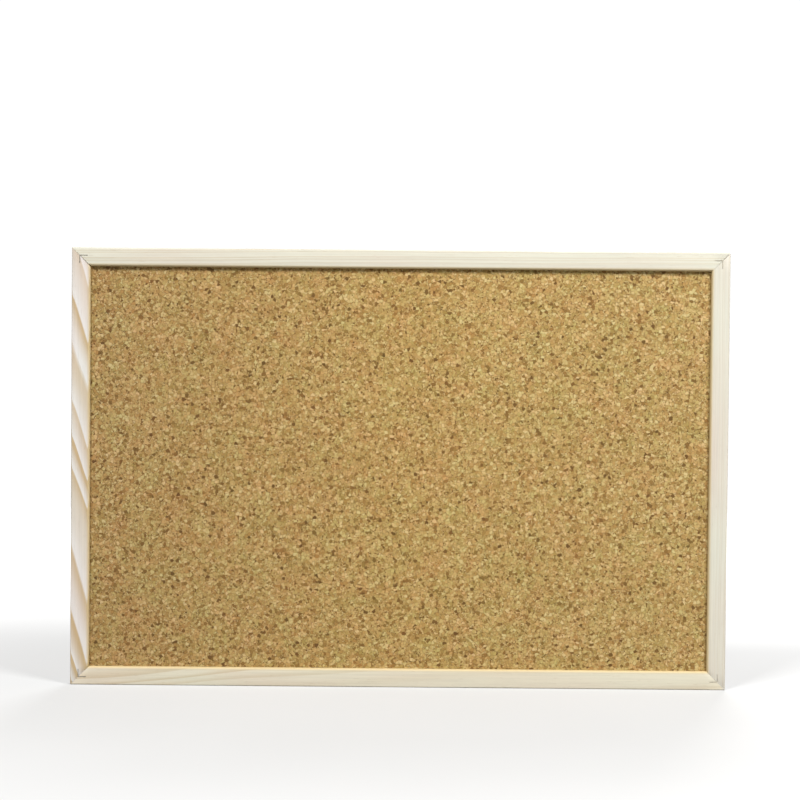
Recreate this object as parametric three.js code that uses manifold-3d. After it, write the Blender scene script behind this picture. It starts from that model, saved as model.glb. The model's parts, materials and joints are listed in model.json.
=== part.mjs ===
// Cork bulletin board in a mitred pine frame, for hanging on a wall.
//
// Millimetres, +Z up. The front faces -Y. The origin is on the plane of the frame's rear face, at the
// middle of the top rail, where the board is measured from when it is hung. Left and right are as
// seen from the front.
//
// Four pine rails with a groove along their inner edge are mitred round a panel of three bonded
// layers, and V-nails driven flush into both faces hold each corner. Two D-ring hangers are screwed
// to the backs of the stiles, and each ring swings in the folded eye of its strap.
import * as THREE from "three";
import { mergeVertices } from "three/addons/utils/BufferGeometryUtils.js";
import Module from "manifold-3d";

const wasm = await Module();
wasm.setup();

// Frame
const BOARD_WIDTH = 600;
const BOARD_HEIGHT = 400;
const RAIL_WIDTH = 17;
const FRONT_LIP = 3.5;
const REAR_LIP = 3.5;
const GROOVE_DEPTH = 5;
const INNER_ROUND = 2.2;
const OUTER_ROUND = 1.2;
const REAR_ROUND = 0.8;
const ROUND_STEPS = 8;
const MITRE_GAP = 0.12;

// Panel
const CORK_THICKNESS = 2;
const CORE_THICKNESS = 6;
const BACKING_THICKNESS = 0.5;
const PANEL_EDGE_GAP = 0.5;
const PANEL_FRONT_GAP = 0.4;
const PANEL_REAR_GAP = 0.1;

// V-nails, one in each face of each corner
const VNAIL_SETBACK = 7.3;
const VNAIL_LEG = 7.5;
const VNAIL_SHEET = 0.7;
const VNAIL_DEPTH = 6.5;
const VNAIL_SUNK = 0.2;
const VNAIL_GAP = 0.1;

// D-ring hangers
const HANGER_DROP = 63.5;
const STRAP_WIDTH = 9;
const STRAP_SHEET = 0.8;
const STRAP_LAYER_GAP = 0.1;
const STRAP_BEND = 0.8;
const STRAP_END = 5;
const WIRE_RADIUS = 1;
const WIRE_GAP = 0.15;
const RING_SIDE_GAP = 0.8;
const RING_CORNER = 1.5;
const RING_STRAIGHT = 3;
const RING_REST_GAP = 0.15;
const RING_STEPS = 72;
const RING_SIDES = 16;

// Hanger screws
const SCREW_RADIUS = 1.5;
const SCREW_LENGTH = 12;
const SCREW_POINT = 3;
const SCREW_HEAD_RADIUS = 3.2;
const SCREW_HEAD_HEIGHT = 2;
const SCREW_HEAD_EDGE = 0.7;
const SCREW_GAP = 0.2;
const SCREW_SIDES = 32;
const RING_SCREW_GAP = 2.5;
const RECESS_WIDTH = 0.9;
const RECESS_LENGTH = 3.6;
const RECESS_DEPTH = 1.2;

// What follows from the sizes above
const panelThickness = CORK_THICKNESS + CORE_THICKNESS + BACKING_THICKNESS;
const grooveWidth = PANEL_FRONT_GAP + panelThickness + PANEL_REAR_GAP;
const yRear = 0;
const yGrooveRear = yRear - REAR_LIP;
const yGrooveFront = yGrooveRear - grooveWidth;
const yFront = yGrooveFront - FRONT_LIP;
const zTop = RAIL_WIDTH / 2;
const zBottom = zTop - BOARD_HEIGHT;
const zMiddle = (zTop + zBottom) / 2;

const finishes = {
  pine: { color: 0xe9dcc0, roughness: 0.6, metalness: 0 },
  cork: { color: 0xb8935c, roughness: 0.9, metalness: 0 },
  softboard: { color: 0x9c8260, roughness: 0.95, metalness: 0 },
  kraft: { color: 0xb99368, roughness: 0.85, metalness: 0 },
  zincPlate: { color: 0xc3c6c8, roughness: 0.35, metalness: 1 },
  bareSteel: { color: 0x7d7972, roughness: 0.5, metalness: 1 },
};

const board = new THREE.Group();

function addPiece(name, geometry, finish) {
  const mesh = new THREE.Mesh(geometry, new THREE.MeshStandardMaterial(finishes[finish]));
  mesh.name = name;
  board.add(mesh);
}

// A closed geometry as a solid that can be cut. Welding its vertices leaves slivers with a repeated
// corner at the poles of a turned shape, and they are dropped.
function toSolid(geometry) {
  const bare = geometry.clone();
  bare.deleteAttribute("normal");
  bare.deleteAttribute("uv");
  const welded = mergeVertices(bare, 1e-4);
  const corners = [];
  for (let i = 0; i < welded.index.count; i += 3) {
    const [a, b, c] = [0, 1, 2].map((k) => welded.index.getX(i + k));
    if (a !== b && b !== c && c !== a) corners.push(a, b, c);
  }
  const vertProperties = new Float32Array(welded.attributes.position.array);
  const triVerts = new Uint32Array(corners);
  return new wasm.Manifold(new wasm.Mesh({ numProp: 3, vertProperties, triVerts }));
}

function toGeometry(solid) {
  const mesh = solid.getMesh();
  const geometry = new THREE.BufferGeometry();
  geometry.setAttribute("position", new THREE.BufferAttribute(mesh.vertProperties, 3));
  geometry.setIndex(new THREE.BufferAttribute(mesh.triVerts, 1));
  geometry.computeVertexNormals();
  return geometry;
}

function cut(geometry, cutters) {
  return toGeometry(cutters.reduce((left, cutter) => left.subtract(toSolid(cutter)), toSolid(geometry)));
}

function box(width, depth, height) {
  return new THREE.BoxGeometry(width, depth, height);
}

// ---- V-nails, and the slots they leave in the rails ----

// Each corner, with the directions that its two rails leave it in.
const corners = [
  { name: "top_left", x: -BOARD_WIDTH / 2, z: zTop, alongX: 1, alongZ: -1 },
  { name: "top_right", x: BOARD_WIDTH / 2, z: zTop, alongX: -1, alongZ: -1 },
  { name: "bottom_left", x: -BOARD_WIDTH / 2, z: zBottom, alongX: 1, alongZ: 1 },
  { name: "bottom_right", x: BOARD_WIDTH / 2, z: zBottom, alongX: -1, alongZ: 1 },
];

const faces = [
  { name: "front", y: yFront, inward: 1 },
  { name: "rear", y: yRear, inward: -1 },
];

// A bent plate between two depths below a face. Its point lies on the mitre and faces the outer
// corner, and one leg runs into each rail. The slot is the same shape grown by the gap all round.
function vnailPlate(corner, face, from, to, grow) {
  const x = corner.x + corner.alongX * VNAIL_SETBACK;
  const z = corner.z + corner.alongZ * VNAIL_SETBACK;
  const y = face.y + face.inward * ((from + to) / 2);
  const sheet = VNAIL_SHEET + 2 * grow;
  const leg = VNAIL_LEG + 2 * grow;
  const reach = (leg - sheet) / 2;
  const alongRail = box(leg, to - from, sheet).translate(x + corner.alongX * reach, y, z);
  const alongStile = box(sheet, to - from, leg).translate(x, y, z + corner.alongZ * reach);
  return toGeometry(toSolid(alongRail).add(toSolid(alongStile)));
}

const vnailSlots = [];
corners.forEach((corner) => {
  faces.forEach((face) => {
    const tip = VNAIL_SUNK + VNAIL_DEPTH;
    const plate = vnailPlate(corner, face, VNAIL_SUNK, tip, 0);
    addPiece(`vnail_${corner.name}_${face.name}`, plate, "bareSteel");
    vnailSlots.push(vnailPlate(corner, face, -1, tip + VNAIL_GAP, VNAIL_GAP));
  });
});

// ---- D-ring hangers ----

const hangers = [
  { side: "left", x: -BOARD_WIDTH / 2 + RAIL_WIDTH / 2, screwTurn: 25 },
  { side: "right", x: BOARD_WIDTH / 2 - RAIL_WIDTH / 2, screwTurn: 65 },
];
const eyeRadius = WIRE_RADIUS + WIRE_GAP;
const eyeY = yRear + STRAP_SHEET + eyeRadius;
const eyeZ = zTop - HANGER_DROP;
const strapThickness = 2 * STRAP_SHEET + STRAP_LAYER_GAP;
const ringHalfWidth = STRAP_WIDTH / 2 + RING_SIDE_GAP + WIRE_RADIUS;
const ringDrop = RING_STRAIGHT + ringHalfWidth;
const screwDrop = ringDrop + WIRE_RADIUS + RING_SCREW_GAP + SCREW_HEAD_RADIUS;
const strapDrop = screwDrop + STRAP_END;
const screwSeatY = yRear + strapThickness;

// The strap is one strip folded round the ring's bar. Its section has the height above the wood
// across it and the height above the bar up it: the strip comes up the wood, goes once round the eye
// and bends back to lie on itself. The outline is then given the strap's width and a rounded end.
function strap() {
  const centre = STRAP_SHEET + eyeRadius;
  const outer = eyeRadius + STRAP_SHEET;
  const bendX = strapThickness + STRAP_BEND;
  const bendY = -Math.sqrt((outer + STRAP_BEND) ** 2 - (bendX - centre) ** 2);
  const toBend = Math.atan2(bendY, bendX - centre);
  const fromBend = toBend + Math.PI;
  const section = new THREE.Shape();
  section.moveTo(0, -strapDrop);
  section.lineTo(STRAP_SHEET, -strapDrop);
  section.lineTo(STRAP_SHEET, 0);
  section.absarc(centre, 0, eyeRadius, Math.PI, toBend, true);
  section.absarc(bendX, bendY, STRAP_BEND + STRAP_SHEET, fromBend, Math.PI, false);
  section.lineTo(STRAP_SHEET + STRAP_LAYER_GAP, -strapDrop);
  section.lineTo(strapThickness, -strapDrop);
  section.lineTo(strapThickness, bendY);
  section.absarc(bendX, bendY, STRAP_BEND, Math.PI, fromBend, true);
  section.absarc(centre, 0, outer, toBend, Math.PI, false);
  const folded = new THREE.ExtrudeGeometry(section, {
    depth: STRAP_WIDTH,
    bevelEnabled: false,
    curveSegments: 24,
  });
  folded.translate(0, 0, -STRAP_WIDTH / 2);
  const [x, y, z] = [new THREE.Vector3(1, 0, 0), new THREE.Vector3(0, 1, 0), new THREE.Vector3(0, 0, 1)];
  folded.applyMatrix4(new THREE.Matrix4().makeBasis(y, z, x));

  const half = STRAP_WIDTH / 2;
  const outline = new THREE.Shape();
  outline.moveTo(half, 2 * outer);
  outline.lineTo(-half, 2 * outer);
  outline.lineTo(-half, half - strapDrop);
  outline.absarc(0, half - strapDrop, half, Math.PI, 2 * Math.PI, false);
  const cutter = new THREE.ExtrudeGeometry(outline, {
    depth: 4 * outer,
    bevelEnabled: false,
    curveSegments: 24,
  });
  cutter.rotateX(Math.PI / 2);
  cutter.translate(0, 3 * outer, 0);

  const holeRadius = SCREW_RADIUS + SCREW_GAP;
  const hole = new THREE.CylinderGeometry(holeRadius, holeRadius, 4 * outer, SCREW_SIDES);
  hole.translate(0, 0, -screwDrop);
  return toGeometry(toSolid(folded).intersect(toSolid(cutter)).subtract(toSolid(hole)));
}

// The ring hangs from its bar and leans back just clear of the strap's edges.
function ring() {
  const inner = ringHalfWidth - RING_CORNER;
  const outline = new THREE.Shape();
  outline.moveTo(-inner, 0);
  outline.lineTo(inner, 0);
  outline.absarc(inner, RING_CORNER, RING_CORNER, -Math.PI / 2, 0, false);
  outline.lineTo(ringHalfWidth, RING_STRAIGHT);
  outline.absarc(0, RING_STRAIGHT, ringHalfWidth, 0, Math.PI, false);
  outline.lineTo(-ringHalfWidth, RING_CORNER);
  outline.absarc(-inner, RING_CORNER, RING_CORNER, Math.PI, 1.5 * Math.PI, false);
  const crossing = RING_STRAIGHT + Math.sqrt(ringHalfWidth ** 2 - (STRAP_WIDTH / 2) ** 2);
  const lean = Math.asin((screwSeatY + WIRE_RADIUS + RING_REST_GAP - eyeY) / crossing);
  const points = outline.getSpacedPoints(RING_STEPS).slice(0, RING_STEPS);
  const centreline = new THREE.CatmullRomCurve3(
    points.map((p) => new THREE.Vector3(p.x, p.y * Math.sin(lean), -p.y * Math.cos(lean))),
    true,
  );
  return toGeometry(toSolid(new THREE.TubeGeometry(centreline, RING_STEPS, WIRE_RADIUS, RING_SIDES, true)));
}

// A pan-head screw along Y, with its head's seat at Y = 0 and the head towards +Y.
function screw(turn) {
  const profile = [
    [0, -SCREW_LENGTH],
    [SCREW_RADIUS, SCREW_POINT - SCREW_LENGTH],
    [SCREW_RADIUS, 0],
    [SCREW_HEAD_RADIUS, 0],
    [SCREW_HEAD_RADIUS, SCREW_HEAD_EDGE],
  ];
  for (let i = 1; i <= 6; i += 1) {
    const angle = (i / 6) * (Math.PI / 2);
    const radius = i < 6 ? SCREW_HEAD_RADIUS * Math.cos(angle) : 0;
    profile.push([radius, SCREW_HEAD_EDGE + (SCREW_HEAD_HEIGHT - SCREW_HEAD_EDGE) * Math.sin(angle)]);
  }
  const turned = new THREE.LatheGeometry(
    profile.map(([r, y]) => new THREE.Vector2(r, y)),
    SCREW_SIDES,
  );
  const bars = [0, 90].map((angle) =>
    box(RECESS_LENGTH, 2 * RECESS_DEPTH, RECESS_WIDTH)
      .rotateY(THREE.MathUtils.degToRad(turn + angle))
      .translate(0, SCREW_HEAD_HEIGHT, 0),
  );
  return cut(turned, bars);
}

const pilotHoles = [];
hangers.forEach(({ side, x, screwTurn }) => {
  addPiece(`${side}_hanger_strap`, strap().translate(x, yRear, eyeZ), "zincPlate");
  addPiece(`${side}_ring`, ring().translate(x, eyeY, eyeZ), "zincPlate");
  const screwZ = eyeZ - screwDrop;
  addPiece(`${side}_hanger_screw`, screw(screwTurn).translate(x, screwSeatY, screwZ), "zincPlate");
  const holeRadius = SCREW_RADIUS + SCREW_GAP;
  const depth = SCREW_LENGTH - strapThickness + SCREW_GAP;
  const hole = new THREE.CylinderGeometry(holeRadius, holeRadius, depth + 1, SCREW_SIDES);
  pilotHoles.push(hole.translate(x, yRear + 1 - (depth + 1) / 2, screwZ));
});

// ---- Frame ----

// The rail's section: inwards from the outer edge across it, and the board's own Y up it. The groove
// for the panel opens in the inner edge, between the front lip and the rear lip.
function railSection() {
  const grooveFloor = RAIL_WIDTH - GROOVE_DEPTH;
  const section = new THREE.Shape();
  section.moveTo(REAR_ROUND, yRear);
  section.absarc(REAR_ROUND, yRear - REAR_ROUND, REAR_ROUND, Math.PI / 2, Math.PI, false);
  section.lineTo(0, yFront + OUTER_ROUND);
  section.absarc(OUTER_ROUND, yFront + OUTER_ROUND, OUTER_ROUND, Math.PI, 1.5 * Math.PI, false);
  section.lineTo(RAIL_WIDTH - INNER_ROUND, yFront);
  section.absarc(RAIL_WIDTH - INNER_ROUND, yFront + INNER_ROUND, INNER_ROUND, -Math.PI / 2, 0, false);
  section.lineTo(RAIL_WIDTH, yGrooveFront);
  section.lineTo(grooveFloor, yGrooveFront);
  section.lineTo(grooveFloor, yGrooveRear);
  section.lineTo(RAIL_WIDTH, yGrooveRear);
  section.lineTo(RAIL_WIDTH, yRear);
  return section;
}

// A rail along X with its outer edge up at Z = 0. Each end is mitred: it runs in from the corner by
// as much as the point lies inwards of the outer edge.
function mitredRail(length) {
  const rail = new THREE.ExtrudeGeometry(railSection(), {
    depth: length,
    bevelEnabled: false,
    curveSegments: ROUND_STEPS,
  });
  const at = rail.attributes.position;
  for (let i = 0; i < at.count; i += 1) {
    const inward = at.getX(i);
    const fromMiddle = length / 2 - inward - MITRE_GAP / 2;
    at.setXYZ(i, at.getZ(i) < length / 2 ? -fromMiddle : fromMiddle, at.getY(i), -inward);
  }
  return rail;
}

const rails = [
  { name: "top_rail", length: BOARD_WIDTH, turn: 0, x: 0, z: zTop },
  { name: "bottom_rail", length: BOARD_WIDTH, turn: Math.PI, x: 0, z: zBottom },
  { name: "left_stile", length: BOARD_HEIGHT, turn: -Math.PI / 2, x: -BOARD_WIDTH / 2, z: zMiddle },
  { name: "right_stile", length: BOARD_HEIGHT, turn: Math.PI / 2, x: BOARD_WIDTH / 2, z: zMiddle },
];
rails.forEach(({ name, length, turn, x, z }) => {
  const rail = mitredRail(length).rotateY(turn).translate(x, 0, z);
  addPiece(name, cut(rail, [...vnailSlots, ...pilotHoles]), "pine");
});

// ---- Panel ----

// The layers are bonded to each other and sit in the groove as one board, from the front to the rear.
const layers = [
  { name: "cork_sheet", thickness: CORK_THICKNESS, finish: "cork" },
  { name: "softboard_core", thickness: CORE_THICKNESS, finish: "softboard" },
  { name: "backing_sheet", thickness: BACKING_THICKNESS, finish: "kraft" },
];
const intoGroove = RAIL_WIDTH - GROOVE_DEPTH + PANEL_EDGE_GAP;
const panelWidth = BOARD_WIDTH - 2 * intoGroove;
const panelHeight = BOARD_HEIGHT - 2 * intoGroove;
let layerFront = yGrooveFront + PANEL_FRONT_GAP;
layers.forEach(({ name, thickness, finish }) => {
  const sheet = box(panelWidth, thickness, panelHeight).translate(0, layerFront + thickness / 2, zMiddle);
  addPiece(name, sheet, finish);
  layerFront += thickness;
});

export default board;
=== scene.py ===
"""Looks for the cork bulletin board, built piece by piece in the order in which it is put together."""

import json
import math

import bmesh
import bpy
import numpy as np
from mathutils import Matrix, Vector, noise


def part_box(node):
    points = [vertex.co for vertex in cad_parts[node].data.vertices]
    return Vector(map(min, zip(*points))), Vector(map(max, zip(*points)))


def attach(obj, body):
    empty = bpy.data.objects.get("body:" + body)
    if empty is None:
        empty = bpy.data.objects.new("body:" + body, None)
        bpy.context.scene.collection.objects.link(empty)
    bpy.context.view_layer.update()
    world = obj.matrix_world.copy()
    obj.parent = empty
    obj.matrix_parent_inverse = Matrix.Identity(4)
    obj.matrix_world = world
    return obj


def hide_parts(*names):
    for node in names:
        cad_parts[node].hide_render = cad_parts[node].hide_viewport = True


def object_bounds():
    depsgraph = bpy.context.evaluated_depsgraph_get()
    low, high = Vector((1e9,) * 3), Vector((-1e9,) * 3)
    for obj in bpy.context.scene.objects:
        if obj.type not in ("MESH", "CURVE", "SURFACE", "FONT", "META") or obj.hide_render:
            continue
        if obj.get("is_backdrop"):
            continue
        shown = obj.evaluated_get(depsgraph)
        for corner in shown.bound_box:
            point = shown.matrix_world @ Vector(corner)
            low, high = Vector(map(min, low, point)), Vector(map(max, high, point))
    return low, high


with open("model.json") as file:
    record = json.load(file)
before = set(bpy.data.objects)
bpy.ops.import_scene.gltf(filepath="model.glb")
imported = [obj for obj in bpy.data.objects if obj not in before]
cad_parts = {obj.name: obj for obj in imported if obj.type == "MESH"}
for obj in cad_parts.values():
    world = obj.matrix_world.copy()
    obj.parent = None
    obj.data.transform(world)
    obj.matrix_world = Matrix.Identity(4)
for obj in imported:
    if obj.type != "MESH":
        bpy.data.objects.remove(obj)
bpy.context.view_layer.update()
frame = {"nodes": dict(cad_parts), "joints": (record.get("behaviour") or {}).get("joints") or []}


# ---- Frame rails ----
# Four lengths of planed pine, grooved for the panel along their inner edge, with the front inner
# arris rounded over and the outer arrises sanded. Their ends are mitred and closed round the panel.

MM = 0.001


def linear(hex_colour):
    """An sRGB hex colour as the linear RGBA that a shader takes."""
    parts = [int(hex_colour[i:i + 2], 16) / 255 for i in (1, 3, 5)]
    return [c / 12.92 if c <= 0.04045 else ((c + 0.055) / 1.055) ** 2.4 for c in parts] + [1.0]


def add(tree, kind, inputs=None, stops=None, **settings):
    """Adds a node with its settings. Each input is a value, or an output that is linked to it."""
    made = tree.nodes.new("ShaderNode" + kind)
    for name, value in settings.items():
        setattr(made, name, value)
    for socket, value in (inputs or {}).items():
        if isinstance(value, bpy.types.NodeSocket):
            tree.links.new(value, made.inputs[socket])
        else:
            made.inputs[socket].default_value = value
    for i, (position, value) in enumerate(stops or []):
        ramp = made.color_ramp.elements
        stop = ramp[i] if i < 2 else ramp.new(position)
        stop.position = position
        stop.color = value if isinstance(value, list) else [value] * 3 + [1.0]
    return made


def new_finish(name, **surface):
    """A material with a Principled shader set up, and the object's own coordinates in metres."""
    made = bpy.data.materials.new(name)
    made.use_nodes = True
    tree = made.node_tree
    tree.nodes.clear()
    shader = add(tree, "BsdfPrincipled", surface)
    add(tree, "OutputMaterial", {"Surface": shader.outputs[0]})
    return made, tree, shader, add(tree, "TexCoord").outputs["Object"]


def pine(name, middle, turn, tilt, pith, ring, tan_from, contrast, early, late, seed):
    """Planed and sanded pine, with no varnish: pale earlywood that darkens into a tan latewood line
    in each ring, and fine fibres along the length. The rings are cylinders round the tree's pith, so
    they run on round the edges. middle and turn are the rail's place. pith is where the pith lies
    from the rail's middle, across it and behind it, and ring is a year's growth, all in mm. tilt is
    how far the rings lean out of the rail's length, which makes them run off slanting. tan_from is
    where in the ring the wood starts to darken. contrast is how dark the latewood gets towards
    either end of the rail. early and late are the colours of the two woods. seed moves the patterns
    along, so that no two rails look alike."""
    made, tree, shader, place = new_finish(name, Roughness=0.55, IOR=1.53)
    rail = add(tree, "Mapping", {"Vector": place, "Location": middle, "Rotation": (0, turn, 0)},
               vector_type="TEXTURE").outputs[0]
    shifted = add(tree, "VectorMath", {0: rail, 1: (seed, seed * 0.7, seed * 1.3)}, operation="ADD").outputs[0]
    stretched = add(tree, "VectorMath", {0: shifted, 1: (0.22, 1, 1)}, operation="MULTIPLY").outputs[0]

    # the trunk was never quite straight, so the rings sway by a few millimetres along the rail
    sway = add(tree, "TexNoise", {"Vector": stretched, "Scale": 1 / (55 * MM), "Detail": 2.0, "Roughness": 0.45})
    centred = add(tree, "VectorMath", {0: sway.outputs["Color"], 1: (0.5, 0.5, 0.5)}, operation="SUBTRACT")
    swayed = add(tree, "VectorMath", {0: centred.outputs[0], 1: (0, 5 * MM, 5 * MM), 2: rail},
                 operation="MULTIPLY_ADD").outputs[0]
    axes = add(tree, "SeparateXYZ", {0: swayed})
    lean = add(tree, "Math", {0: axes.outputs[0], 1: tilt, 2: axes.outputs[1]}, operation="MULTIPLY_ADD")
    section = add(tree, "CombineXYZ", {0: 0.0, 1: lean.outputs[0], 2: axes.outputs[2]}).outputs[0]
    from_pith = add(tree, "VectorMath", {0: section, 1: (0, pith[1] * MM, pith[0] * MM)}, operation="DISTANCE")

    # good and poor years make the rings wider and narrower, and each has latewood of its own strength
    years = add(tree, "Math", {0: from_pith.outputs["Value"], 1: ring * MM}, operation="DIVIDE").outputs[0]
    weather = add(tree, "TexNoise", {"W": years, "Scale": 0.37, "Detail": 1.0}, noise_dimensions="1D").outputs[0]
    rings = add(tree, "Math", {0: weather, 1: 3.0, 2: years}, operation="MULTIPLY_ADD").outputs[0]
    across_ring = add(tree, "Math", {0: rings}, operation="FRACT").outputs[0]
    which_ring = add(tree, "Math", {0: rings}, operation="FLOOR").outputs[0]
    of_its_own = add(tree, "TexWhiteNoise", {"W": which_ring}, noise_dimensions="1D").outputs["Value"]
    ring_strength = add(tree, "MapRange", {0: of_its_own, 3: 0.55, 4: 1.0}).outputs[0]
    end_strength = add(tree, "MapRange", {0: axes.outputs[0], 1: -0.2, 2: 0.2, 3: contrast[0], 4: contrast[1]})
    strength = add(tree, "Math", {0: ring_strength, 1: end_strength.outputs[0]}, operation="MULTIPLY").outputs[0]
    density = add(tree, "ValToRGB", {0: across_ring}, stops=[
        (0.0, 0.0), (1.0, 0.3), (tan_from, 0.06), (tan_from * 0.4 + 0.5, 0.5), (0.93, 1.0)]).outputs[0]
    latewood = add(tree, "Math", {0: density, 1: strength}, operation="MULTIPLY", use_clamp=True).outputs[0]
    wood = add(tree, "Mix", {0: latewood, 6: linear(early), 7: linear(late)}, data_type="RGBA").outputs[2]

    # fibres are about 0.05 mm wide, and are drawn in bundles of 0.5 mm and 1.6 mm so that they show
    bundle = add(tree, "VectorMath", {0: shifted, 1: (1 / (26 * MM), 1 / (0.5 * MM), 1 / (0.5 * MM))},
                 operation="MULTIPLY").outputs[0]
    fine = add(tree, "TexNoise", {"Vector": bundle, "Scale": 1.0, "Detail": 3.0, "Roughness": 0.6}).outputs[0]
    wide = add(tree, "VectorMath", {0: shifted, 1: (1 / (120 * MM), 1 / (1.6 * MM), 1 / (1.6 * MM))},
               operation="MULTIPLY").outputs[0]
    streak = add(tree, "TexNoise", {"Vector": wide, "Scale": 1.0, "Detail": 2.0, "Roughness": 0.5}).outputs[0]
    both = add(tree, "Math", {0: fine, 1: streak}, operation="ADD").outputs[0]
    shade = add(tree, "MapRange", {0: both, 1: 0.72, 2: 1.28, 3: 0.92, 4: 1.04}).outputs[0]
    fibred = add(tree, "VectorMath", {0: wood, "Scale": shade}, operation="SCALE").outputs[0]

    # resin canals are short dark hairlines, thickest in the latewood
    canal_place = add(tree, "VectorMath", {0: shifted, 1: (1 / (9 * MM), 1 / (0.45 * MM), 1 / (0.45 * MM))},
                      operation="MULTIPLY").outputs[0]
    canal = add(tree, "TexNoise", {"Vector": canal_place, "Scale": 1.0, "Detail": 1.0}).outputs[0]
    thin = add(tree, "MapRange", {0: canal, 1: 0.7, 2: 0.78, 3: 0.0, 4: 0.3}).outputs[0]
    resined = add(tree, "Mix", {0: thin, 6: fibred, 7: linear("#9C7A50")}, data_type="RGBA").outputs[2]

    # heartwood and handling leave broad patches a little pinker or greyer than the rest
    patch = add(tree, "TexNoise", {"Vector": stretched, "Scale": 1 / (30 * MM), "Detail": 2.0}).outputs[0]
    tint = add(tree, "ValToRGB", {0: patch}, stops=[
        (0.3, linear("#FFF6EE")), (0.7, linear("#FFFFF6"))]).outputs[0]
    tinted = add(tree, "Mix", {0: 1.0, 6: resined, 7: tint}, data_type="RGBA", blend_type="MULTIPLY").outputs[2]

    # painted shade: the rounded arris along the opening is tinted a darker yellow-tan, standing in for its shading
    # where it turns from the lamps and for the cork's colour thrown back onto it
    from_centre = add(tree, "VectorMath", {0: place, 1: (0, 0, z_middle)}, operation="SUBTRACT").outputs[0]
    across_board = (1, 0, 0) if turn else (0, 0, 1)
    offset = add(tree, "VectorMath", {0: from_centre, 1: across_board}, operation="DOT_PRODUCT").outputs["Value"]
    distance = add(tree, "Math", {0: offset}, operation="ABSOLUTE").outputs[0]
    opening = (x_side if turn else z_top - z_middle) - rail_width
    arris = add(tree, "MapRange", {0: distance, 1: opening, 2: opening + 3.3 * MM, 3: 0.85, 4: 0.0},
                interpolation_type="SMOOTHSTEP").outputs[0]
    shaded_along_opening = add(tree, "Mix", {0: arris, 6: tinted, 7: linear("#C6AE78")}, data_type="RGBA").outputs[2]
    tree.links.new(shaded_along_opening, shader.inputs["Base Color"])

    # latewood is denser, so sanding leaves it a few hundredths proud and a little smoother
    gloss = add(tree, "MapRange", {0: latewood, 3: 0.6, 4: 0.47}).outputs[0]
    tree.links.new(gloss, shader.inputs["Roughness"])
    relief = add(tree, "Math", {0: fine, 1: 0.5, 2: latewood}, operation="MULTIPLY_ADD").outputs[0]
    bump = add(tree, "Bump", {"Strength": 0.35, "Distance": 0.06 * MM, "Height": relief})
    tree.links.new(bump.outputs[0], shader.inputs["Normal"])
    return made


def new_piece(name, vertices, faces, finish, body, sharp=35):
    """A mesh piece in the board's own frame, that rides on a body. Edges over sharp degrees stay crisp."""
    mesh = bpy.data.meshes.new(name)
    mesh.from_pydata([tuple(v) for v in vertices], [], faces)
    shaped = bmesh.new()
    shaped.from_mesh(mesh)
    bmesh.ops.remove_doubles(shaped, verts=shaped.verts, dist=1e-7)
    bmesh.ops.recalc_face_normals(shaped, faces=shaped.faces)
    shaped.to_mesh(mesh)
    shaped.free()
    piece = bpy.data.objects.new(name, mesh)
    bpy.context.scene.collection.objects.link(piece)
    if finish:
        mesh.materials.append(finish)
    smooth(piece, sharp)
    if body:
        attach(piece, body)
    return piece


def smooth(piece, sharp):
    piece.data.shade_smooth()
    piece.data.set_sharp_from_angle(angle=math.radians(sharp))


def settle(piece, sharp=35):
    """Turns what a piece's modifiers make of it into its mesh, without the slivers that they leave."""
    shown = piece.evaluated_get(bpy.context.evaluated_depsgraph_get())
    finished = bpy.data.meshes.new_from_object(shown)
    piece.modifiers.clear()
    shaped = bmesh.new()
    shaped.from_mesh(finished)
    bmesh.ops.dissolve_degenerate(shaped, edges=shaped.edges, dist=1e-6)
    shaped.to_mesh(finished)
    shaped.free()
    piece.data = finished
    smooth(piece, sharp)


def carve(piece, cutters, operation="DIFFERENCE", sharp=35):
    for cutter in cutters:
        cut = piece.modifiers.new(cutter.name, "BOOLEAN")
        cut.object, cut.operation, cut.solver = cutter, operation, "EXACT"
    settle(piece, sharp)
    for cutter in cutters:
        bpy.data.objects.remove(cutter)


def prism(outline, low, high, lay):
    """The vertices and faces of an outline carried from low to high. lay(a, b, t) puts a point in place."""
    count = len(outline)
    vertices = [lay(a, b, t) for t in (low, high) for a, b in outline]
    sides = [(i, (i + 1) % count, count + (i + 1) % count, count + i) for i in range(count)]
    return vertices, sides + [tuple(range(count)), tuple(range(count, 2 * count))]


def arc(a, b, radius, start, stop, steps):
    """Points along an arc round (a, b), in degrees."""
    angles = [math.radians(start + (stop - start) * i / steps) for i in range(steps + 1)]
    return [(a + radius * math.cos(t), b + radius * math.sin(t)) for t in angles]


top_low, top_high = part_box("top_rail")
rail_width = top_high.z - top_low.z
y_front, y_rear = top_low.y, top_high.y
x_side = -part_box("left_stile")[0].x
z_top = top_high.z
z_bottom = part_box("bottom_rail")[0].z
z_middle = (z_top + z_bottom) / 2
lip = 3.5 * MM
groove_depth = 5 * MM
outer_round, rear_round, inner_round = 1.2 * MM, 0.8 * MM, 2.2 * MM
edge_break = 0.12 * MM


def rail_section(ease):
    """The section as (inwards from the outer edge, Y). ease is how heavily the outer arrises are sanded."""
    outer, rear, inner = outer_round * ease, rear_round * ease, inner_round
    lip_front, lip_rear, groove_floor = y_front + lip, y_rear - lip, rail_width - groove_depth
    return (
        arc(rear, y_rear - rear, rear, 90, 180, 4)
        + arc(outer, y_front + outer, outer, 180, 270, 6)
        + arc(rail_width - inner, y_front + inner, inner, 270, 360, 10)
        + [(rail_width, lip_front), (groove_floor, lip_front), (groove_floor, lip_rear),
           (rail_width, lip_rear), (rail_width, y_rear)]
    )


# How far each mitre stands open, in mm: at the outer corner, and at the inner corner.
mitre_open = {"top_left": (0.03, 0.88), "top_right": (0.7, 0.06),
              "bottom_left": (0.2, 0.4), "bottom_right": (0.36, 0.16)}


def mitre_gap(corner, inwards):
    """How far a mitre stands open, in mm, at a distance inwards from the outer edge."""
    outer_gap, inner_gap = mitre_open[corner]
    return outer_gap + (inner_gap - outer_gap) * inwards / rail_width


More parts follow.
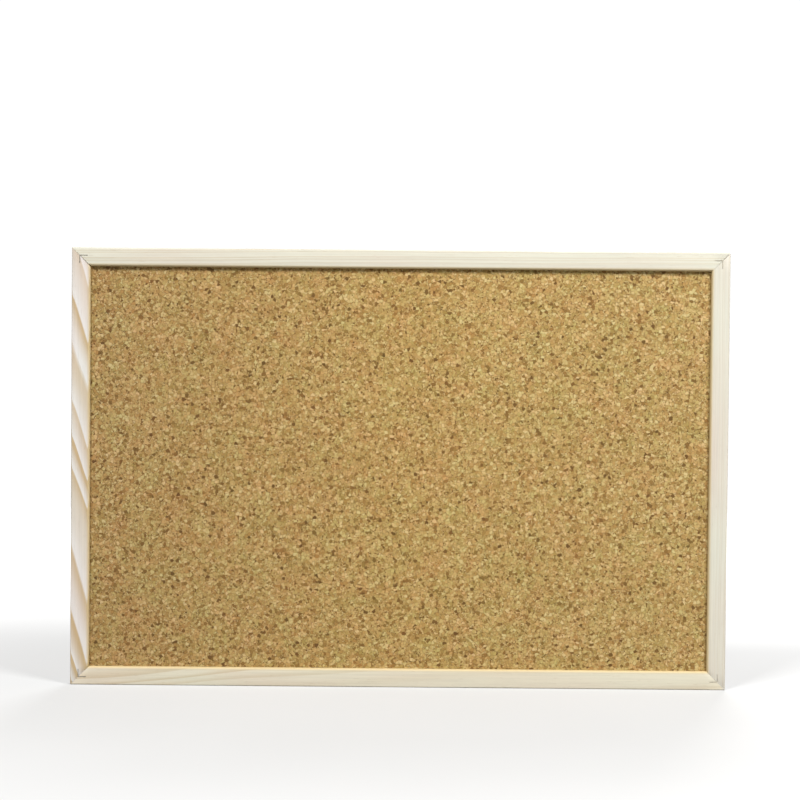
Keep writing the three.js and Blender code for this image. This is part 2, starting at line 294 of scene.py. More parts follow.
# Each rail's length, the corners at its low and high end, and how (along, y, inwards) lies in place.
rail_places = {
    "top_rail": (2 * x_side, "top_left", "top_right", lambda t, y, u: (t, y, z_top - u)),
    "bottom_rail": (2 * x_side, "bottom_left", "bottom_right", lambda t, y, u: (t, y, z_bottom + u)),
    "left_stile": (z_top - z_bottom, "bottom_left", "top_left", lambda t, y, u: (u - x_side, y, z_middle + t)),
    "right_stile": (z_top - z_bottom, "bottom_right", "top_right", lambda t, y, u: (x_side - u, y, z_middle + t)),
}

# The left stile is flat-sawn, so its rings run off across the face in broad slanting bands. The
# others are cut nearer the quarter, and show fine straight lines.
pine_finishes = {
    "top_rail": pine(
        "planed pine, top rail", (0, 0, z_top - rail_width / 2), turn=0.0, tilt=0.012, pith=(-64, 26), ring=2.7,
        tan_from=0.42, contrast=(0.5, 0.4), early="#D3D3C9", late="#B8A37B", seed=0.31),
    "bottom_rail": pine(
        "planed pine, bottom rail", (0, 0, z_bottom + rail_width / 2), turn=0.0, tilt=-0.02, pith=(30, 95), ring=3.1,
        tan_from=0.42, contrast=(0.55, 0.5), early="#D8D3C4", late="#B9A37B", seed=1.73),
    "left_stile": pine(
        "planed pine, left stile", (rail_width / 2 - x_side, 0, z_middle), turn=math.radians(90), tilt=0.061,
        pith=(-31, 147), ring=2.7, tan_from=0.14, contrast=(1.1, 1.7), early="#DEDDDF", late="#C1AB89", seed=2.9),
    "right_stile": pine(
        "planed pine, right stile", (x_side - rail_width / 2, 0, z_middle), turn=math.radians(90), tilt=0.006,
        pith=(58, 18), ring=2.1, tan_from=0.42, contrast=(0.36, 0.36), early="#D2D0C8", late="#B8A885", seed=4.4),
}

rails = {}
section_spacing = 9 * MM
section_size = len(rail_section(1.0))
for number, (name, (length, low_corner, high_corner, lay)) in enumerate(rail_places.items()):
    # the rail is skinned over one section at each mitre, and one every 9 mm with its own sanding
    half = length / 2
    inset = rail_width + 4 * MM
    between = list(np.linspace(inset - half, half - inset, int(length / section_spacing)))
    stations = [None] + between + [None]
    vertices = []
    for i, station in enumerate(stations):
        corner, way = (low_corner, -1) if i == 0 else (high_corner, 1)
        along = station if station is not None else way * half
        ease = 1 + 0.22 * noise.noise(Vector((along * 14, number * 3.7, 0.5)))
        for inwards, y in rail_section(ease):
            t = along
            if station is None:
                t = way * (half - inwards - mitre_gap(corner, inwards) * MM / 2)
            vertices.append(lay(t, y, inwards))
    faces = [(r * section_size + i, r * section_size + (i + 1) % section_size,
              (r + 1) * section_size + (i + 1) % section_size, (r + 1) * section_size + i)
             for r in range(len(stations) - 1) for i in range(section_size)]
    last = (len(stations) - 1) * section_size
    faces += [tuple(range(section_size)), tuple(range(last, last + section_size))]
    rails[name] = new_piece("pine_" + name, vertices, faces, pine_finishes[name], "board", sharp=28)

    # hands round every long arris, but the mitre's own edges only where it stands open: hardly at a
    # gap of 0.1 mm, and fully from 0.5 mm
    ends = {0: low_corner, len(stations) - 1: high_corner}
    shaped = bmesh.new()
    shaped.from_mesh(rails[name].data)
    wear = shaped.edges.layers.float.new("bevel_weight_edge")
    for edge in shaped.edges:
        if edge.calc_face_angle(0.0) > math.radians(40):
            row, other_row = (v.index // section_size for v in edge.verts)
            edge[wear] = 1.0
            if row == other_row and row in ends:
                inwards = sum(rail_section(1.0)[v.index % section_size][0] for v in edge.verts) / 2
                edge[wear] = min(1.0, max(0.12, (mitre_gap(ends[row], inwards) - 0.1) / 0.4))
    shaped.to_mesh(rails[name].data)
    shaped.free()
    eased = rails[name].modifiers.new("handled edges", "BEVEL")
    eased.width, eased.segments, eased.limit_method = edge_break, 2, "WEIGHT"
    settle(rails[name], sharp=28)
    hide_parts(name)


# ---- V-nails ----
# Bent strips of fluted steel, pressed into both faces of each mitre until they sit just below the
# wood. Only the top edge shows, in a slot hardly wider than the strip.

steel, tree, shader, place = new_finish("pressed steel strip")
# steel strip is dull grey with the marks of the press, and pale wood dust hides parts of its edge
press_mark = add(tree, "TexNoise", {"Vector": place, "Scale": 1 / (0.9 * MM), "Detail": 4.0}).outputs[0]
steel_colour = add(tree, "ValToRGB", {0: press_mark}, stops=[
    (0.3, linear("#7E7A74")), (0.72, linear("#B4B0A8"))]).outputs[0]
steel_rough = add(tree, "MapRange", {0: press_mark, 3: 0.62, 4: 0.38}).outputs[0]
dust = add(tree, "TexNoise", {"Vector": place, "Scale": 1 / (2.2 * MM), "Detail": 3.0}).outputs[0]
across = add(tree, "SeparateXYZ", {0: place}).outputs[0]
uneven_dust = add(tree, "Math", {0: across, 1: -0.38, 2: dust}, operation="MULTIPLY_ADD").outputs[0]
dusted = add(tree, "MapRange", {0: uneven_dust, 1: 0.42, 2: 0.62, 3: 0.9, 4: 0.2}).outputs[0]
steel_face = add(tree, "Mix", {0: dusted, 6: steel_colour, 7: linear("#C9BFAA")}, data_type="RGBA").outputs[2]
bare = add(tree, "Math", {0: 1.0, 1: dusted}, operation="SUBTRACT").outputs[0]
tree.links.new(steel_face, shader.inputs["Base Color"])
tree.links.new(bare, shader.inputs["Metallic"])
tree.links.new(steel_rough, shader.inputs["Roughness"])
steel_bump = add(tree, "Bump", {"Strength": 0.3, "Distance": 0.05 * MM, "Height": press_mark})
tree.links.new(steel_bump.outputs[0], shader.inputs["Normal"])

nail_sheet = 0.7 * MM
half_strip = 0.4 * nail_sheet
flute_pitch, flute_depth = 1.25 * MM, 0.05 * MM
flute_steps = 28
slot_spare = 0.04 * MM
corner_ways = {"top_left": (-1, 1), "top_right": (1, 1), "bottom_left": (-1, -1), "bottom_right": (1, -1)}
slots = {name: [] for name in rails}
for corner, (sx, sz) in corner_ways.items():
    for face, inward in (("front", 1), ("rear", -1)):
        node = f"vnail_{corner}_{face}"
        low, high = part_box(node)
        leg = high.x - low.x
        point = Vector((low.x if sx < 0 else high.x, 0, high.z if sz > 0 else low.z))

        # the two faces of one leg, either side of a middle line with shallow flutes
        leg_line = []
        for i in range(flute_steps + 1):
            t = nail_sheet / 2 + (leg - nail_sheet / 2) * i / flute_steps
            flute = flute_depth * math.sin(t / flute_pitch * 2 * math.pi)
            leg_line.append((t, nail_sheet / 2 + flute))
        outside = [(t, s - half_strip) for t, s in leg_line][2:]
        inside = [(t, s + half_strip) for t, s in leg_line if t > nail_sheet * 0.9]
        outline = ([(0.1 * nail_sheet, 0.1 * nail_sheet)] + outside + list(reversed(inside))
                   + [(s, t) for t, s in inside] + [(s, t) for t, s in reversed(outside)])

        def lay_nail(a, b, y):
            """Along the two legs from the corner where they meet."""
            return (point.x - sx * a, y, point.z - sz * b)

        tip, driven = (low.y, high.y) if face == "rear" else (high.y, low.y)
        vertices, faces = prism(outline, tip, driven, lay_nail)
        nail = new_piece("strip_" + node, vertices, faces, steel, "board", sharp=30)
        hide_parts(node)

        # the slot in both rails is a little wider and deeper than the strip, and opens at the face
        mouth = y_front - 1 * MM if face == "front" else y_rear + 1 * MM
        bed = tip + inward * slot_spare
        near, arm, far = -slot_spare, nail_sheet + slot_spare, leg + slot_spare
        slot_outline = [(near, near), (far, near), (far, arm), (arm, arm), (arm, far), (near, far)]
        for name, (_, low_corner, high_corner, _) in rail_places.items():
            if corner in (low_corner, high_corner):
                vertices, faces = prism(slot_outline, mouth, bed, lay_nail)
                slots[name].append(new_piece(f"slot_{node}_{name}", vertices, faces, None, None))


# ---- Panel core ----
# Softboard: wood fibres felted and pressed into a light board that a pin goes into easily. The sawn
# edges sit in the rails' grooves, and both faces are covered.

softboard, tree, shader, place = new_finish("pressed softboard", Roughness=0.95)
fibre_place = add(tree, "VectorMath", {0: place, 1: (1, 4, 1)}, operation="MULTIPLY").outputs[0]
fibre = add(tree, "TexNoise", {"Vector": fibre_place, "Scale": 1 / (1.35 * MM), "Detail": 5.0, "Roughness": 0.7,
                               "Distortion": 1.5}).outputs[0]
fibre_colour = add(tree, "ValToRGB", {0: fibre}, stops=[
    (0.3, linear("#6E5636")), (0.75, linear("#B79B72")), (0.5, linear("#937850"))]).outputs[0]
tree.links.new(fibre_colour, shader.inputs["Base Color"])
fibre_bump = add(tree, "Bump", {"Strength": 0.8, "Distance": 0.3 * MM, "Height": fibre})
tree.links.new(fibre_bump.outputs[0], shader.inputs["Normal"])
core = frame["nodes"]["softboard_core"]
core.data.materials.clear()
core.data.materials.append(softboard)


# ---- Cork sheet ----
# Cork bark ground to granules, pressed with a binder into a block, sliced 2 mm thick and sanded. Each
# granule keeps its own shade, and dark flecks are pieces of the bark's woody back.

cork, tree, shader, place = new_finish("sanded granulated cork", Roughness=0.88, IOR=1.45)
# granules run from under 1 mm to 3 mm: cells of two sizes, with edges torn ragged by the mill. About
# half of the larger cells are given over to the smaller ones
ragged = add(tree, "TexNoise", {"Vector": place, "Scale": 1 / (0.9 * MM), "Detail": 5.0, "Roughness": 0.68})
off_centre = add(tree, "VectorMath", {0: ragged.outputs["Color"], 1: (0.5, 0.5, 0.5)}, operation="SUBTRACT")
torn_edge = add(tree, "VectorMath", {0: off_centre.outputs[0], 1: (1.5 * MM,) * 3, 2: place},
                operation="MULTIPLY_ADD").outputs[0]
cells = []
for size in (2.5, 1.35):
    fill = add(tree, "TexVoronoi", {"Vector": torn_edge, "Scale": 1 / (size * MM)}, feature="F1")
    edge = add(tree, "TexVoronoi", {"Vector": torn_edge, "Scale": 1 / (size * MM)}, feature="DISTANCE_TO_EDGE")
    drawn = add(tree, "SeparateColor", {0: fill.outputs["Color"]}).outputs
    cells.append((drawn[0], drawn[1], drawn[2], edge.outputs[0]))
(big_shade, big_chance, big_warmth, big_edge), (small_shade, _, small_warmth, small_edge) = cells
fine_here = add(tree, "Math", {0: big_chance, 1: 0.52}, operation="GREATER_THAN").outputs[0]
granule = add(tree, "Mix", {0: fine_here, 2: big_shade, 3: small_shade}).outputs[0]
warmth = add(tree, "Mix", {0: fine_here, 2: big_warmth, 3: small_warmth}).outputs[0]
joint_far = add(tree, "Mix", {0: fine_here, 2: big_edge, 3: small_edge}).outputs[0]
grain_colour = add(tree, "ValToRGB", {0: granule}, stops=[
    (0.0, linear("#6C4F29")), (1.0, linear("#D8C398")), (0.05, linear("#8B6B3B")), (0.18, linear("#AD8E58")),
    (0.5, linear("#C0A46F")), (0.8, linear("#CBB280"))]).outputs[0]
own_cast = add(tree, "ValToRGB", {0: warmth}, stops=[
    (0.0, linear("#FFF1E4")), (1.0, linear("#F8FAEA")), (0.5, linear("#FFFBF4"))]).outputs[0]
cast_granule = add(tree, "Mix", {0: 1.0, 6: grain_colour, 7: own_cast}, data_type="RGBA",
                   blend_type="MULTIPLY").outputs[2]

# inside a granule the sanded cork is mottled by its cell walls, and pitted where a pore was cut open
torn = add(tree, "TexNoise", {"Vector": place, "Scale": 1 / (0.55 * MM), "Detail": 5.0, "Roughness": 0.75,
                              "Distortion": 0.6}).outputs[0]
torn_shade = add(tree, "MapRange", {0: torn, 1: 0.3, 2: 0.7, 3: 0.8, 4: 1.2}).outputs[0]
streaked = add(tree, "VectorMath", {0: cast_granule, "Scale": torn_shade}, operation="SCALE").outputs[0]
pore_cells = add(tree, "TexVoronoi", {"Vector": torn_edge, "Scale": 1 / (1.1 * MM)}, feature="F1")
pore = add(tree, "MapRange", {0: pore_cells.outputs["Distance"], 1: 0.1, 2: 0.2, 3: 1.0, 4: 0.0}).outputs[0]
chosen = add(tree, "SeparateColor", {0: pore_cells.outputs["Color"]}).outputs[0]
few = add(tree, "Math", {0: chosen, 1: 0.6}, operation="GREATER_THAN").outputs[0]
pit = add(tree, "Math", {0: pore, 1: few}, operation="MULTIPLY").outputs[0]

# painted shade darkens the sunk joints between granules here and there, drawn 0.2 to 0.3 mm wide to show
joint_line = add(tree, "MapRange", {0: joint_far, 1: 0.0, 2: 0.13, 3: 1.0, 4: 0.0}).outputs[0]
open_joint = add(tree, "TexNoise", {"Vector": place, "Scale": 1 / (2.3 * MM), "Detail": 2.0}).outputs[0]
how_open = add(tree, "MapRange", {0: open_joint, 1: 0.4, 2: 0.62, 3: 0.2, 4: 1.0}).outputs[0]
joint = add(tree, "Math", {0: joint_line, 1: how_open}, operation="MULTIPLY").outputs[0]
sunk = add(tree, "Math", {0: pit, 1: joint}, operation="MAXIMUM").outputs[0]
dark = add(tree, "Math", {0: sunk, 1: 0.85}, operation="MULTIPLY").outputs[0]
pored_and_joint_shaded = add(tree, "Mix", {0: dark, 6: streaked, 7: linear("#6E5028")}, data_type="RGBA").outputs[2]

# the mix of granules is uneven over a few centimetres, yellower in one place and pinker in another
uneven = add(tree, "TexNoise", {"Vector": place, "Scale": 1 / (17 * MM), "Detail": 3.0, "Roughness": 0.6}).outputs[0]
cast = add(tree, "ValToRGB", {0: uneven}, stops=[
    (0.3, linear("#FBEFE2")), (0.7, linear("#F3F8E4"))]).outputs[0]
toned = add(tree, "Mix", {0: 1.0, 6: pored_and_joint_shaded, 7: cast}, data_type="RGBA", blend_type="MULTIPLY").outputs[2]

# painted light: the sheet is shaded darker towards the left, and given a cooler, greyer tint towards the right that
# stands in for a pale haze of light there
across = add(tree, "SeparateXYZ", {0: place}).outputs[0]
left_to_right = add(tree, "MapRange", {0: across, 1: -0.28, 2: 0.28}).outputs[0]
painted_side_light = add(tree, "ValToRGB", {0: left_to_right}, stops=[
    (0.0, linear("#EEECEF")), (1.0, linear("#FBFEFF")), (0.5, linear("#FCFBF5"))]).outputs[0]
side_lit_cork = add(tree, "Mix", {0: 1.0, 6: toned, 7: painted_side_light}, data_type="RGBA", blend_type="MULTIPLY").outputs[2]
tree.links.new(side_lit_cork, shader.inputs["Base Color"])

relief = add(tree, "Math", {0: torn, 1: 0.8, 2: granule}, operation="MULTIPLY_ADD").outputs[0]
joint_depth = add(tree, "Math", {0: relief, 1: sunk}, operation="SUBTRACT").outputs[0]
cork_bump = add(tree, "Bump", {"Strength": 0.75, "Distance": 0.22 * MM, "Height": joint_depth})
tree.links.new(cork_bump.outputs[0], shader.inputs["Normal"])


def sheet(low, high, columns, rows, relief, side):
    """A thin board between two corners. Its face on one side (-1 front, 1 rear) is moved by relief(x, z)."""
    xs, zs = np.linspace(low.x, high.x, columns), np.linspace(low.z, high.z, rows)
    worked, plain = (low.y, high.y) if side < 0 else (high.y, low.y)
    vertices = [(x, worked + relief(x, z), z) for z in zs for x in xs]
    faces = [(j * columns + i, j * columns + i + 1, (j + 1) * columns + i + 1, (j + 1) * columns + i)
             for j in range(rows - 1) for i in range(columns - 1)]
    rim = (list(range(columns)) + [j * columns + columns - 1 for j in range(1, rows)]
           + [(rows - 1) * columns + i for i in reversed(range(columns - 1))]
           + [j * columns for j in reversed(range(1, rows - 1))])
    far = len(vertices)
    vertices += [(vertices[i][0], plain, vertices[i][2]) for i in rim]
    count = len(rim)
    faces += [(rim[i], rim[(i + 1) % count], far + (i + 1) % count, far + i) for i in range(count)]
    return vertices, faces + [tuple(range(far, far + count))]


def granule_relief(x, z):
    """Sanding leaves each granule a few hundredths of a millimetre higher or lower than the next."""
    near, cells = noise.voronoi(Vector((x / (2.8 * MM), z / (2.8 * MM), 4.7)))
    valley = max(0.0, 1 - (near[1] - near[0]) / 0.3)
    return (0.09 * valley - 0.06 * noise.noise(cells[0] * 3.1)) * MM


# the grid is about 1.6 mm, so it takes the larger granules, and the bump takes the finer relief
vertices, faces = sheet(*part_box("cork_sheet"), 380, 248, granule_relief, -1)
cork_sheet = new_piece("granulated_cork", vertices, faces, cork, "board", sharp=60)
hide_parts("cork_sheet")


# ---- Backing sheet ----
# Heavy kraft lining board, glued to the back of the softboard so that the panel stays flat. It has
# cockled a little between the glue lines.

kraft, tree, shader, place = new_finish("kraft lining board", Roughness=0.82, IOR=1.48)
# unbleached pulp: long pale and dark fibres, a cloudy formation and a few dark specks of bark
long_fibre_place = add(tree, "VectorMath", {0: place, 1: (1, 1, 3.2)}, operation="MULTIPLY").outputs[0]
long_fibre = add(tree, "TexNoise", {"Vector": long_fibre_place, "Scale": 1 / (1.8 * MM), "Detail": 4.0,
                                    "Roughness": 0.65, "Distortion": 0.8}).outputs[0]
cloud = add(tree, "TexNoise", {"Vector": place, "Scale": 1 / (14 * MM), "Detail": 4.0}).outputs[0]
formation = add(tree, "Math", {0: cloud, 1: 0.28, 2: long_fibre}, operation="MULTIPLY_ADD").outputs[0]
kraft_colour = add(tree, "ValToRGB", {0: formation}, stops=[
    (0.36, linear("#9A7C56")), (0.9, linear("#CDB18A")), (0.63, linear("#B4966D"))]).outputs[0]
speck_cells = add(tree, "TexVoronoi", {"Vector": place, "Scale": 1 / (5.5 * MM)}, feature="F1").outputs[0]
speck = add(tree, "MapRange", {0: speck_cells, 1: 0.055, 2: 0.075, 3: 0.75, 4: 0.0}).outputs[0]
specked = add(tree, "Mix", {0: speck, 6: kraft_colour, 7: linear("#5C4024")}, data_type="RGBA").outputs[2]
tree.links.new(specked, shader.inputs["Base Color"])
kraft_bump = add(tree, "Bump", {"Strength": 0.4, "Distance": 0.12 * MM, "Height": long_fibre})
tree.links.new(kraft_bump.outputs[0], shader.inputs["Normal"])


def cockle(x, z):
    """The sheet's slow waves, which die out where the rear lip holds its edge."""
    half_width, half_height = x_side - rail_width, z_top - z_middle - rail_width
    far = min(abs(abs(x) - half_width), abs(abs(z - z_middle) - half_height))
    inside = abs(x) < half_width and abs(z - z_middle) < half_height
    hold = min(1.0, far / (25 * MM)) if inside else 0.0
    wave = noise.noise(Vector((x * 11, z * 17, 2.2))) + 0.4 * noise.noise(Vector((x * 34, z * 40, 8.1)))
    return 0.34 * MM * wave * hold


vertices, faces = sheet(*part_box("backing_sheet"), 160, 104, cockle, 1)
backing = new_piece("kraft_backing", vertices, faces, kraft, "board", sharp=60)
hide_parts("backing_sheet")


# ---- D-ring hangers ----
# Each is a strip of zinc-plated steel folded round the ring's bar, and one pan-head screw through
# both layers holds it to the back of the stile. The ring is bent from 2 mm wire.

zinc, tree, shader, place = new_finish("bright zinc plate", Metallic=1.0)
# bright zinc is a cool light grey with a faint blue and yellow passivation, and fine rolling marks
rolled_place = add(tree, "VectorMath", {0: place, 1: (1, 1, 0.12)}, operation="MULTIPLY").outputs[0]
rolled = add(tree, "TexNoise", {"Vector": rolled_place, "Scale": 1 / (0.25 * MM), "Detail": 3.0}).outputs[0]
bloom = add(tree, "TexNoise", {"Vector": place, "Scale": 1 / (3.5 * MM), "Detail": 3.0}).outputs[0]
zinc_colour = add(tree, "ValToRGB", {0: bloom}, stops=[
    (0.3, linear("#C3CAD6")), (0.72, linear("#DAD6C6")), (0.5, linear("#CFD2D4"))]).outputs[0]
tree.links.new(zinc_colour, shader.inputs["Base Color"])
zinc_wear = add(tree, "Math", {0: rolled, 1: bloom}, operation="ADD").outputs[0]
zinc_rough = add(tree, "MapRange", {0: zinc_wear, 1: 0.7, 2: 1.3, 3: 0.2, 4: 0.42}).outputs[0]
tree.links.new(zinc_rough, shader.inputs["Roughness"])
zinc_bump = add(tree, "Bump", {"Strength": 0.25, "Distance": 0.02 * MM, "Height": rolled})
tree.links.new(zinc_bump.outputs[0], shader.inputs["Normal"])

strap_sheet = 0.8 * MM
layer_gap = 0.1 * MM
bend = 0.8 * MM
wire = 1.0 * MM
eye = wire + 0.15 * MM
ring_straight, ring_corner = 3 * MM, 1.5 * MM
shank_hole = arc(0, 0, 1.7 * MM, 0, 352.5, 47)
head_radius, head_edge = 3.2 * MM, 0.7 * MM
shank_radius, thread_depth, thread_pitch = 1.12 * MM, 0.38 * MM, 1.25 * MM
point_length = 3 * MM
recess_angle = {"left": 25, "right": 65}

for side in ("left", "right"):
    joint = next(j for j in frame["joints"] if j["child"] == side + "_ring")
    bar = Vector(joint["pos_m"])
    strap_low, strap_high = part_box(side + "_hanger_strap")
    strap_end = strap_low.z - bar.z
    half_strap = (strap_high.x - strap_low.x) / 2
    screw_low, screw_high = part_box(side + "_hanger_screw")
    screw_z = (screw_low.z + screw_high.z) / 2

    def lay_plan(a, b, t):
        """Across and up from the bar, and t behind the wood's face."""
        return (bar.x + a, y_rear + t, bar.z + b)

    def lay_hole(a, b, t):
        """Across and up from the screw, and t behind the wood's face."""
        return (bar.x + a, y_rear + t, screw_z + b)

    # strap: the folded strip's section, as (height above the wood, height above the bar)
    thickness = 2 * strap_sheet + layer_gap
    centre = strap_sheet + eye
    bend_a = thickness + bend
    bend_b = -math.sqrt((eye + strap_sheet + bend) ** 2 - (bend_a - centre) ** 2)
    turn = math.degrees(math.atan2(bend_b, bend_a - centre))
    section = (
        [(0, strap_end), (strap_sheet, strap_end)]
        + arc(centre, 0, eye, 180, turn, 40)
        + arc(bend_a, bend_b, bend + strap_sheet, turn + 180, 180, 12)
        + [(strap_sheet + layer_gap, strap_end), (thickness, strap_end)]
        + arc(bend_a, bend_b, bend, 180, turn + 180, 12)
        + arc(centre, 0, eye + strap_sheet, turn, 180, 48)
    )
    vertices, faces = prism(section, -half_strap, half_strap, lambda a, b, t: (bar.x + t, y_rear + a, bar.z + b))
    strap = new_piece(side + "_strap", vertices, faces, zinc, "board")
    plan = [(-half_strap, 4 * MM), (half_strap, 4 * MM)] + arc(0, strap_end + half_strap, half_strap, 0, -180, 40)
    vertices, faces = prism(plan, -1 * MM, 6 * MM, lay_plan)
    carve(strap, [new_piece(side + "_strap_plan", vertices, faces, None, None)], "INTERSECT")
    vertices, faces = prism(shank_hole, -1 * MM, 6 * MM, lay_hole)
    carve(strap, [new_piece(side + "_strap_hole", vertices, faces, None, None)])
    worn = strap.modifiers.new("stamped arris", "BEVEL")
    worn.width, worn.segments, worn.limit_method = edge_break, 2, "ANGLE"
    worn.angle_limit = math.radians(50)
    settle(strap)
    strap.data.materials.clear()
    strap.data.materials.append(zinc)
    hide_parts(side + "_hanger_strap")

    # ring: the wire's middle line as (across, below the bar), bent to a D and leaning off the strap
    ring_low, ring_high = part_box(side + "_ring")
    half_ring = (ring_high.x - ring_low.x) / 2 - wire
    bar_end = half_ring - ring_corner
    leg = ring_straight - ring_corner
    path = ([(bar_end * (i / 10 - 1), 0.0) for i in range(20)]
            + arc(bar_end, ring_corner, ring_corner, -90, 0, 12)
            + [(half_ring, ring_corner + leg * i / 4) for i in range(1, 4)]
            + arc(0, ring_straight, half_ring, 0, 180, 72)
            + [(-half_ring, ring_straight - leg * i / 4) for i in range(1, 4)]
            + arc(-bar_end, ring_corner, ring_corner, 180, 270, 12))[:-1]
    lean = math.asin((ring_high.y - wire - bar.y) / (ring_straight + half_ring))
    down = Vector((0, math.sin(lean), -math.cos(lean)))
    out = Vector((0, math.cos(lean), math.sin(lean)))
    points = [bar + Vector((a, 0, 0)) + down * b for a, b in path]
    around = 24
    vertices, count = [], len(points)
    for i, p in enumerate(points):
        along = (points[(i + 1) % count] - points[i - 1]).normalized()
        across = along.cross(out)
        for k in range(around):
            a = 2 * math.pi * k / around
            vertices.append(p + (across * math.cos(a) + out * math.sin(a)) * wire)
    faces = [(i * around + k, i * around + (k + 1) % around, (i + 1) % count * around + (k + 1) % around,
              (i + 1) % count * around + k) for i in range(count) for k in range(around)]
    ring = new_piece(side + "_d_ring", vertices, faces, zinc, side + "_ring", sharp=60)
    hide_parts(side + "_ring")

    # screw: a pan head, and a shank with a coarse thread that tapers to the point, turned from rows of
    # (radius, height above the strap, height of the thread there)
    seat = y_rear + thickness
    head = screw_high.y - seat
    shank = seat - screw_low.y
    around, shank_rows = 32, 96
    rows = [(0.0, head, 0.0)]
    rows += [(head_radius * math.cos(t), head_edge + (head - head_edge) * math.sin(t), 0.0)
             for t in np.linspace(math.radians(84), 0, 12)]
    rows += [(head_radius, 0.08 * MM, 0.0), (head_radius - 0.08 * MM, 0.0, 0.0), (1.5 * MM, 0.0, 0.0)]
    for i in range(1, shank_rows + 1):
        y = -shank * i / shank_rows
        taper = min(1.0, (shank + y) / point_length)
        rows.append((shank_radius * taper, y, min(1.0, i / 6) * thread_depth * taper))
    vertices = []
    for r, y, thread in rows:
        for k in range(around):
            # the thread's two flanks take three fifths of the pitch, and the rest is bare shank
            phase = (y / thread_pitch - k / around) % 1.0
            rise = max(0.0, 1 - abs(phase - 0.5) / 0.3)
            a = 2 * math.pi * k / around
            full = r + thread * rise
            vertices.append((bar.x + full * math.cos(a), seat + y, screw_z + full * math.sin(a)))
    faces = [(i * around + k, i * around + (k + 1) % around, (i + 1) * around + (k + 1) % around,
              (i + 1) * around + k) for i in range(len(rows) - 1) for k in range(around)]
    screw = new_piece(side + "_screw", vertices, faces, zinc, "board", sharp=40)

    # the cross recess tapers towards its floor, so that the driver's tip wedges in
    mouth, floor = (1.8 * MM, 0.48 * MM), (1.15 * MM, 0.34 * MM)
    for angle in (recess_angle[side], recess_angle[side] + 90):
        a = math.radians(angle)
        vertices = []
        for (long, short), y in ((mouth, head + 0.2 * MM), (floor, head - 1.2 * MM)):
            for u, v in ((-long, -short), (long, -short), (long, short), (-long, short)):
                vertices.append((bar.x + u * math.cos(a) - v * math.sin(a), seat + y,
                                 screw_z + u * math.sin(a) + v * math.cos(a)))
        faces = [(0, 1, 2, 3), (4, 5, 6, 7), (0, 1, 5, 4), (1, 2, 6, 5), (2, 3, 7, 6), (3, 0, 4, 7)]
        carve(screw, [new_piece(side + "_recess", vertices, faces, None, None)], sharp=40)
    screw.data.materials.clear()
    screw.data.materials.append(zinc)
    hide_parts(side + "_hanger_screw")

    # the stile's pilot hole is as wide as the strap's, and a little deeper than the screw
    vertices, faces = prism(shank_hole, screw_low.y - 0.2 * MM - y_rear, 1 * MM, lay_hole)
    slots[side + "_stile"].append(new_piece(side + "_pilot", vertices, faces, None, None))

# the rails are cut last, when every slot and hole is known
for name, rail in rails.items():
    carve(rail, slots[name], sharp=28)
    # where a slot runs out in a mitre, the cut can leave a fin of two faces back to back
    shaped = bmesh.new()
    shaped.from_mesh(rail.data)
    bmesh.ops.triangulate(shaped, faces=shaped.faces)
    alike = {}
    for face in shaped.faces:
        corners = frozenset(tuple(round(c, 8) for c in v.co) for v in face.verts)
        alike.setdefault(corners, []).append(face)
    fins = [face for same in alike.values() if len(same) > 1 for face in same]
    bmesh.ops.delete(shaped, geom=fins, context="FACES")
    shaped.to_mesh(rail.data)
    shaped.free()
    smooth(rail, 28)


# ---- Studio ----
# The board stands on a plain pale floor. The main light is high on the left in front, a smaller one
# fills in from the right, and a third lights the back. The camera looks almost square on to the face.

paint, tree, shader, place = new_finish("matt white floor paint", Roughness=0.9)
# it glows to the camera alone, more further out, so that it meets the white beyond it without a line
# and without lighting the board
away = add(tree, "VectorMath", {0: place, 1: (0, 0, z_bottom)}, operation="DISTANCE").outputs["Value"]
glow = add(tree, "MapRange", {0: away, 1: 0.25, 2: 1.3, 3: 0.42, 4: 1.0}, interpolation_type="SMOOTHSTEP").outputs[0]
seen = add(tree, "LightPath").outputs["Is Camera Ray"]
seen_glow = add(tree, "Math", {0: glow, 1: seen}, operation="MULTIPLY").outputs[0]
shader.inputs["Emission Color"].default_value = linear("#FFFFFF")
tree.links.new(seen_glow, shader.inputs["Emission Strength"])
mottle = add(tree, "TexNoise", {"Vector": place, "Scale": 3.0, "Detail": 2.0}).outputs[0]
paint_colour = add(tree, "ValToRGB", {0: mottle}, stops=[
    (0.3, linear("#939392")), (0.7, linear("#989897"))]).outputs[0]
tree.links.new(paint_colour, shader.inputs["Base Color"])
floor_mesh = bpy.data.meshes.new("floor")
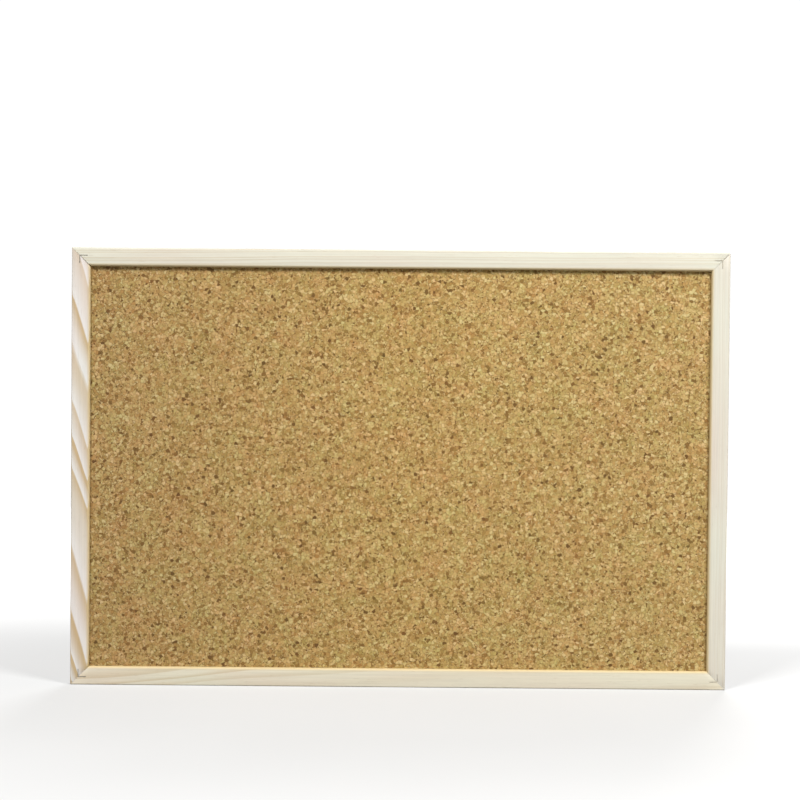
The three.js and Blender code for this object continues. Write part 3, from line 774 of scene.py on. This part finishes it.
floor_corners = [(-3, -4, z_bottom), (3, -4, z_bottom), (3, 1.9, z_bottom), (-3, 1.9, z_bottom)]
floor_mesh.from_pydata(floor_corners, [], [(0, 1, 2, 3)])
floor_mesh.materials.append(paint)
floor = bpy.data.objects.new("floor", floor_mesh)
bpy.context.scene.collection.objects.link(floor)
floor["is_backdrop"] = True

# the room is white to the camera and dim to the board, which leaves the lighting to the lamps
world = bpy.data.worlds.new("studio")
bpy.context.scene.world = world
world.use_nodes = True
tree = world.node_tree
tree.nodes.clear()
seen = add(tree, "LightPath").outputs["Is Camera Ray"]
level = add(tree, "MapRange", {0: seen, 3: 0.13, 4: 1.05}).outputs[0]
sky = add(tree, "Background", {"Color": (1.0, 1.0, 1.0, 1.0), "Strength": level})
add(tree, "OutputWorld", {"Surface": sky.outputs[0]})

centre = Vector((0, y_front, z_middle))


def softbox(name, place, size, power):
    """A square white light of a size in metres and a power in watts, turned to the board's middle."""
    light = bpy.data.lights.new(name, "AREA")
    light.shape, light.size, light.energy = "SQUARE", size, power
    lamp = bpy.data.objects.new(name, light)
    lamp.location = place
    lamp.rotation_euler = (centre - Vector(place)).to_track_quat("-Z", "Y").to_euler()
    bpy.context.scene.collection.objects.link(lamp)


softbox("key", (-2.1, -3.2, z_middle + 4.8), 1.3, 290)
softbox("fill", (1.35, -1.5, z_middle + 1.8), 0.7, 68)
softbox("back", (0.6, 3.0, z_middle + 0.9), 1.4, 80)

camera = bpy.data.cameras.new("camera")
camera.lens = 88.8
camera.sensor_width = 36
camera.clip_end = 50
viewer = bpy.data.objects.new("camera", camera)
# 1.8 m from a point 137 mm below the top edge, looking down by 1.6 degrees and half a degree off level
turned = Matrix.Rotation(math.radians(90 - 1.63), 4, "X") @ Matrix.Rotation(math.radians(0.51), 4, "Z")
viewer.matrix_world = Matrix.Translation((0, y_front, z_top - 0.1366)) @ turned @ Matrix.Translation((0, 0, 1.8))
bpy.context.scene.collection.objects.link(viewer)
bpy.context.scene.camera = viewer
bpy.context.scene.view_settings.view_transform = "Standard"

low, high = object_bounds()
